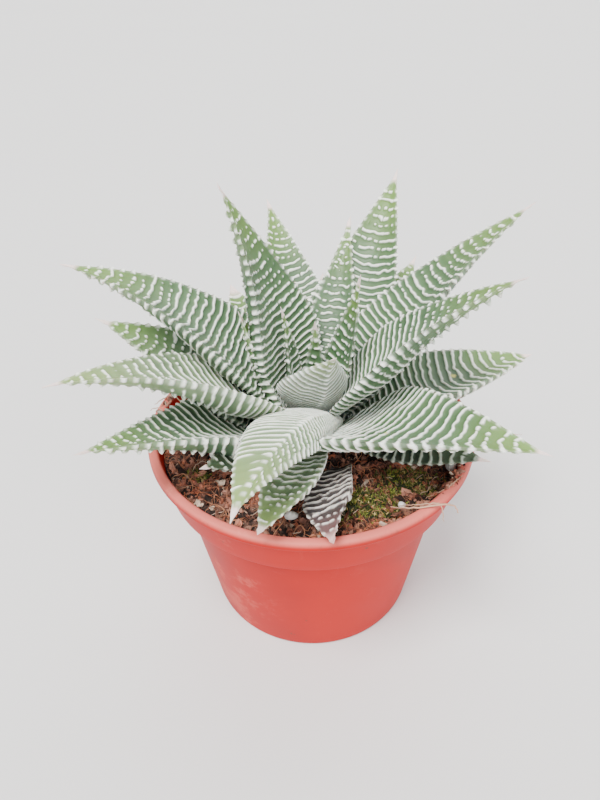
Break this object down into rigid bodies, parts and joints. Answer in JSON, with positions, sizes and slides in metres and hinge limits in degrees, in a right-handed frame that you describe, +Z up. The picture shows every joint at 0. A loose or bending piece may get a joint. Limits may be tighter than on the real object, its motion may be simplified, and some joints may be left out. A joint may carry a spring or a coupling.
{
  "type": "potted succulent",
  "caption": "Striped haworthia: a rosette of stiff keeled leaves with raised pale ridges, rooted in dark mix in a small round terracotta-red plastic nursery pot",
  "frame": {"origin": "centre of the flat underside of the pot, on the pot's axis", "axes": "+Z up along the pot's axis, -Y towards the front of the plant, +X to its right"},
  "size_m": [0.0739, 0.0748, 0.0734],
  "materials": {
    "pot": "satin",
    "soil": "rough",
    "stem": "matte",
    "leaf": "waxy matte",
    "old_leaf": "waxy matte",
    "moss": "rough",
    "grain": "matte"
  },
  "bodies": {
    "root": {"pot": "pot", "soil": "soil", "stem": "stem", "leaf_heart_left": "leaf", "leaf_heart_right": "leaf", "leaf_cup": "leaf", "leaf_inner_left": "leaf", "leaf_inner_right": "leaf", "leaf_inner_back": "leaf", "leaf_upper_left": "leaf", "leaf_far_left": "leaf", "leaf_right_fold": "leaf", "leaf_upper_right": "leaf", "leaf_back_right": "leaf", "leaf_back_left": "leaf", "leaf_left": "leaf", "leaf_front_bent": "leaf", "leaf_front_right": "leaf", "leaf_right_low": "leaf", "leaf_left_low": "leaf", "leaf_front_left": "leaf", "leaf_back_low_left": "leaf", "leaf_back_low_right": "leaf", "leaf_back_low": "leaf", "leaf_front_dark": "leaf", "leaf_right_under": "leaf", "leaf_left_under": "leaf", "leaf_front_old": "old_leaf", "moss_front": "moss", "moss_right": "moss", "moss_side": "moss", "moss_left": "moss", "grain_front": "grain", "grain_right": "grain", "grain_side": "grain", "grain_back": "grain"}
  },
  "joints": []
}
